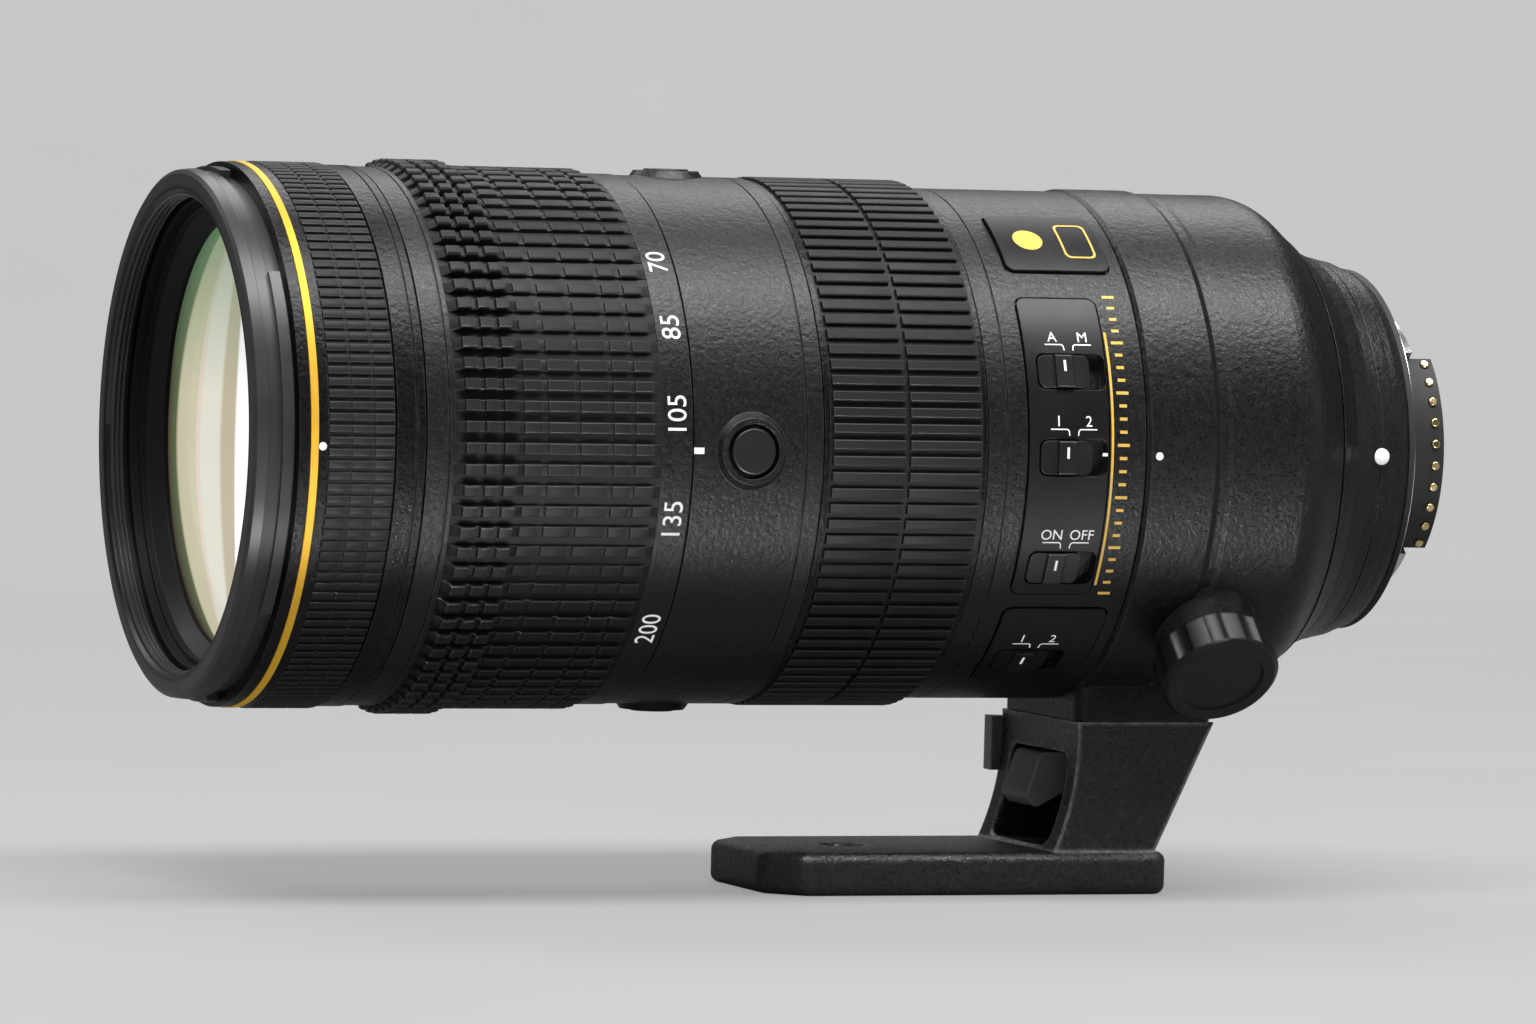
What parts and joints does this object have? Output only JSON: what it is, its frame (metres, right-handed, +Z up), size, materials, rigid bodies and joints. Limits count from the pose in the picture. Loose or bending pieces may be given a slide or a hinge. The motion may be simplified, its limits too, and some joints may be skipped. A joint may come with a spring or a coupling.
{
  "type": "camera zoom lens",
  "caption": "Telephoto zoom lens with rubber zoom and focus rings, slide switches, function buttons and a rotating tripod collar with a detachable foot.",
  "frame": {"origin": "centre of the mount flange's rear face, on the optical axis", "axes": "+X back along the optical axis towards the camera, +Z up, the foot down; the switches face -Y"},
  "size_m": [0.2107, 0.0884, 0.1167],
  "materials": {
    "shell": "fine crinkle black coating, satin",
    "rubber": "matte moulded rubber",
    "gold": "satin gold-coloured coating",
    "front_glass": "polished, coated",
    "glass": "polished, coated",
    "inner_black": "matte black anodised",
    "cell_plastic": "matte",
    "panel": "fine satin",
    "switch": "satin",
    "button": "satin",
    "blade": "matte black coated steel",
    "stator": "bare metal ring",
    "flange": "bright turned metal",
    "screw": "bright",
    "contact_block": "matte",
    "contact": "gold plated"
  },
  "bodies": {
    "barrel": {"front_rim": "shell", "front_baffle": "inner_black", "gold_ring": "gold", "front_barrel": "shell", "front_grip": "rubber", "front_element": "front_glass", "front_inner_lens": "glass", "guide_barrel": "inner_black", "button_housing": "shell", "switch_housing": "shell", "switch_panels": "panel", "rear_barrel": "inner_black", "rear_cone": "shell", "mount_plate": "flange", "mount_screws": "screw", "mount_gasket": "rubber", "contact_block": "contact_block", "contact_pins": "contact", "rear_lenses": "glass", "inner_barrel": "inner_black", "motor_stator": "stator", "iris_housing": "inner_black"},
    "zoom": {"zoom_ring": "shell", "zoom_grip": "rubber", "cam_barrel": "inner_black"},
    "variator": {"variator_cell": "inner_black", "variator_lens": "glass"},
    "compensator": {"compensator_cell": "inner_black", "compensator_lens": "glass"},
    "focus": {"focus_ring": "shell", "focus_grip": "rubber"},
    "motor": {"motor_rotor": "inner_black"},
    "focus_group": {"focus_cell": "inner_black", "focus_lens": "glass"},
    "iris": {"iris_ring": "inner_black"},
    "stabiliser_slider": {"stabiliser_frame": "inner_black"},
    "stabiliser": {"stabiliser_cell": "cell_plastic", "stabiliser_lens": "glass"},
    "collar": {"tripod_collar": "shell"},
    "knob": {"clamp_knob": "shell"},
    "foot_body": {"foot": "shell"},
    "latch": {"foot_latch": "button"},
    "lever": {"foot_lever": "button"},
    "blade_1": {"iris_blade_1": "blade"},
    "blade_2": {"iris_blade_2": "blade"},
    "blade_3": {"iris_blade_3": "blade"},
    "blade_4": {"iris_blade_4": "blade"},
    "blade_5": {"iris_blade_5": "blade"},
    "blade_6": {"iris_blade_6": "blade"},
    "blade_7": {"iris_blade_7": "blade"},
    "blade_8": {"iris_blade_8": "blade"},
    "blade_9": {"iris_blade_9": "blade"},
    "button_1": {"function_button_1": "button"},
    "button_2": {"function_button_2": "button"},
    "button_3": {"function_button_3": "button"},
    "button_4": {"function_button_4": "button"},
    "focus_mode_switch_slider": {"focus_mode_switch": "switch"},
    "focus_limit_switch_slider": {"focus_limit_switch": "switch"},
    "stabiliser_switch_slider": {"stabiliser_switch": "switch"},
    "stabiliser_mode_switch_slider": {"stabiliser_mode_switch": "switch"}
  },
  "joints": [
    {"name": "zoom_turn", "type": "hinge", "parent": "barrel", "child": "zoom", "pos_m": [-0.15, 0, 0], "axis": [1, 0, 0], "range_deg": [-42.8, 42.8]},
    {"name": "variator_slide", "type": "slide", "parent": "barrel", "child": "variator", "axis": [1, 0, 0], "range_m": [-0.0141, 0.0141]},
    {"name": "compensator_slide", "type": "slide", "parent": "barrel", "child": "compensator", "axis": [1, 0, 0], "range_m": [-0.00405, 0.00405]},
    {"name": "focus_turn", "type": "hinge", "parent": "barrel", "child": "focus", "pos_m": [-0.094, 0, 0], "axis": [1, 0, 0], "continuous": true},
    {"name": "motor_turn", "type": "hinge", "parent": "barrel", "child": "motor", "pos_m": [-0.1, 0, 0], "axis": [1, 0, 0], "range_deg": [-50, 50]},
    {"name": "focus_group_slide", "type": "slide", "parent": "barrel", "child": "focus_group", "axis": [1, 0, 0], "range_m": [-0.00508, 0.00508]},
    {"name": "iris_turn", "type": "hinge", "parent": "barrel", "child": "iris", "pos_m": [-0.082, 0, 0], "axis": [1, 0, 0], "range_deg": [0, 20]},
    {"name": "blade_1_turn", "type": "hinge", "parent": "barrel", "child": "blade_1", "pos_m": [-0.0866, 0.0252, 0], "axis": [1, 0, 0], "range_deg": [-0.05, 35.05]},
    {"name": "blade_2_turn", "type": "hinge", "parent": "barrel", "child": "blade_2", "pos_m": [-0.08632, 0.0193, 0.0162], "axis": [1, 0, 0], "range_deg": [-0.05, 35.05]},
    {"name": "blade_3_turn", "type": "hinge", "parent": "barrel", "child": "blade_3", "pos_m": [-0.08604, 0.00438, 0.02482], "axis": [1, 0, 0], "range_deg": [-0.05, 35.05]},
    {"name": "blade_4_turn", "type": "hinge", "parent": "barrel", "child": "blade_4", "pos_m": [-0.08576, -0.0126, 0.02182], "axis": [1, 0, 0], "range_deg": [-0.05, 35.05]},
    {"name": "blade_5_turn", "type": "hinge", "parent": "barrel", "child": "blade_5", "pos_m": [-0.08548, -0.02368, 0.00862], "axis": [1, 0, 0], "range_deg": [-0.05, 35.05]},
    {"name": "blade_6_turn", "type": "hinge", "parent": "barrel", "child": "blade_6", "pos_m": [-0.0852, -0.02368, -0.00862], "axis": [1, 0, 0], "range_deg": [-0.05, 35.05]},
    {"name": "blade_7_turn", "type": "hinge", "parent": "barrel", "child": "blade_7", "pos_m": [-0.08492, -0.0126, -0.02182], "axis": [1, 0, 0], "range_deg": [-0.05, 35.05]},
    {"name": "blade_8_turn", "type": "hinge", "parent": "barrel", "child": "blade_8", "pos_m": [-0.08464, 0.00438, -0.02482], "axis": [1, 0, 0], "range_deg": [-0.05, 35.05]},
    {"name": "blade_9_turn", "type": "hinge", "parent": "barrel", "child": "blade_9", "pos_m": [-0.08436, 0.0193, -0.0162], "axis": [1, 0, 0], "range_deg": [-0.05, 35.05]},
    {"name": "stabiliser_y", "type": "slide", "parent": "barrel", "child": "stabiliser_slider", "axis": [0, 1, 0], "range_m": [-0.001, 0.001]},
    {"name": "stabiliser_z", "type": "slide", "parent": "stabiliser_slider", "child": "stabiliser", "axis": [0, 0, 1], "range_m": [-0.001, 0.001]},
    {"name": "button_1_press", "type": "slide", "parent": "barrel", "child": "button_1", "axis": [0, 1, 0], "range_m": [0, 0.0005], "stiffness_N_per_m": 1200, "springref_m": -0.0004},
    {"name": "button_2_press", "type": "slide", "parent": "barrel", "child": "button_2", "axis": [0, 0, 1], "range_m": [0, 0.0005], "stiffness_N_per_m": 1200, "springref_m": -0.0004},
    {"name": "button_3_press", "type": "slide", "parent": "barrel", "child": "button_3", "axis": [0, -1, 0], "range_m": [0, 0.0005], "stiffness_N_per_m": 1200, "springref_m": -0.0004},
    {"name": "button_4_press", "type": "slide", "parent": "barrel", "child": "button_4", "axis": [0, 0, -1], "range_m": [0, 0.0005], "stiffness_N_per_m": 1200, "springref_m": -0.0004},
    {"name": "focus_mode_switch_slide", "type": "slide", "parent": "barrel", "child": "focus_mode_switch_slider", "axis": [1, 0, 0], "range_m": [0, 0.0024]},
    {"name": "focus_limit_switch_slide", "type": "slide", "parent": "barrel", "child": "focus_limit_switch_slider", "axis": [1, 0, 0], "range_m": [0, 0.0024]},
    {"name": "stabiliser_switch_slide", "type": "slide", "parent": "barrel", "child": "stabiliser_switch_slider", "axis": [1, 0, 0], "range_m": [0, 0.0024]},
    {"name": "stabiliser_mode_switch_slide", "type": "slide", "parent": "barrel", "child": "stabiliser_mode_switch_slider", "axis": [1, 0, 0], "range_m": [0, 0.0024]},
    {"name": "collar_turn", "type": "hinge", "parent": "barrel", "child": "collar", "pos_m": [-0.035, 0, 0], "axis": [1, 0, 0], "continuous": true},
    {"name": "clamp_knob_turn", "type": "hinge", "parent": "collar", "child": "knob", "pos_m": [-0.0372, -0.03237, -0.03126], "axis": [0, -0.7193, -0.6947], "range_deg": [0, 270]},
    {"name": "foot_slide", "type": "slide", "parent": "collar", "child": "foot_body", "axis": [-1, 0, 0], "range_m": [0, 0.0165]},
    {"name": "foot_latch_press", "type": "slide", "parent": "foot_body", "child": "latch", "axis": [1, 0, 0], "range_m": [0, 0.0018], "stiffness_N_per_m": 800, "springref_m": -0.0005},
    {"name": "foot_lever_turn", "type": "hinge", "parent": "foot_body", "child": "lever", "pos_m": [-0.0443, 0.0184, -0.052], "axis": [0, 0, -1], "range_deg": [0, 40]}
  ],
  "couplings": [
    {"joint": "variator_slide", "follows": "zoom_turn", "m_per_rad": -0.018742},
    {"joint": "compensator_slide", "follows": "zoom_turn", "m_per_rad": -0.0053548},
    {"joint": "focus_group_slide", "follows": "motor_turn", "m_per_rad": -0.0057296},
    {"joint": "blade_1_turn", "follows": "iris_turn", "ratio": 1.75},
    {"joint": "blade_2_turn", "follows": "iris_turn", "ratio": 1.75},
    {"joint": "blade_3_turn", "follows": "iris_turn", "ratio": 1.75},
    {"joint": "blade_4_turn", "follows": "iris_turn", "ratio": 1.75},
    {"joint": "blade_5_turn", "follows": "iris_turn", "ratio": 1.75},
    {"joint": "blade_6_turn", "follows": "iris_turn", "ratio": 1.75},
    {"joint": "blade_7_turn", "follows": "iris_turn", "ratio": 1.75},
    {"joint": "blade_8_turn", "follows": "iris_turn", "ratio": 1.75},
    {"joint": "blade_9_turn", "follows": "iris_turn", "ratio": 1.75}
  ]
}
